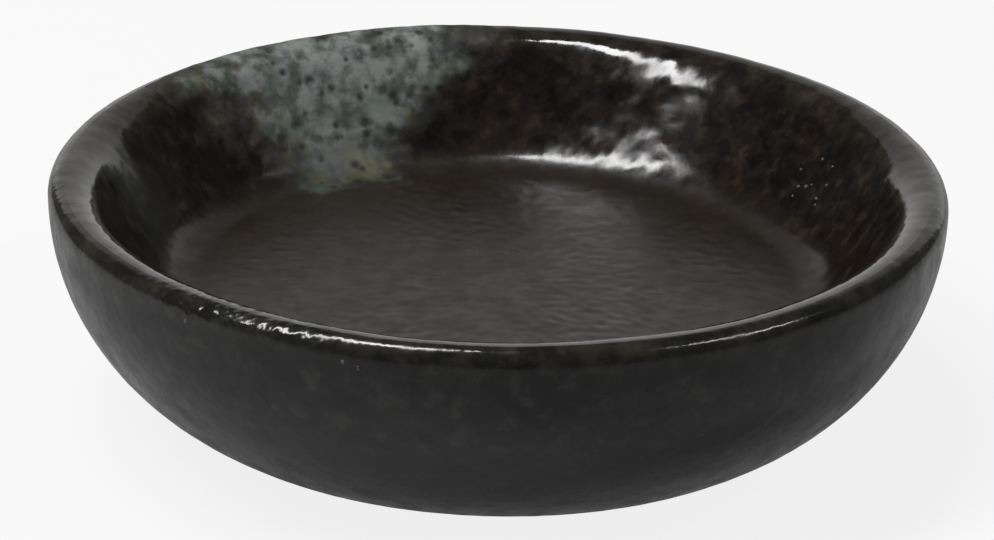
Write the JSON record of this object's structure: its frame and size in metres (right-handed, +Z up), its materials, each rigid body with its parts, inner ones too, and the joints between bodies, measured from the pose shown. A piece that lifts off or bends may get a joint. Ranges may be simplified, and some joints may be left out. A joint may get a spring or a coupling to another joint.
{
  "type": "soy sauce dish",
  "caption": "Small round stoneware dipping dish with a shallow flat-floored well, rounded lip, turned foot ring, dark iron glaze and a pale glaze splash inside",
  "frame": {"origin": "centre of the foot ring's underside, on the table", "axes": "+Z up along the dish's axis; the pale splash is on the inner wall towards +Y, a little to -X, and the picture looks from -Y"},
  "size_m": [0.095, 0.095, 0.026],
  "materials": {
    "stoneware": "bare fired stoneware, matt and slightly gritty",
    "dark_glaze": "glossy brown-black iron glaze with a fine ripple",
    "pale_glaze": "pale grey-green ash glaze, satin, with dark spots"
  },
  "bodies": {
    "root": {"stoneware_body": "stoneware", "inside_glaze": "dark_glaze", "outside_glaze": "dark_glaze", "pale_glaze_patch": "pale_glaze"}
  },
  "joints": []
}
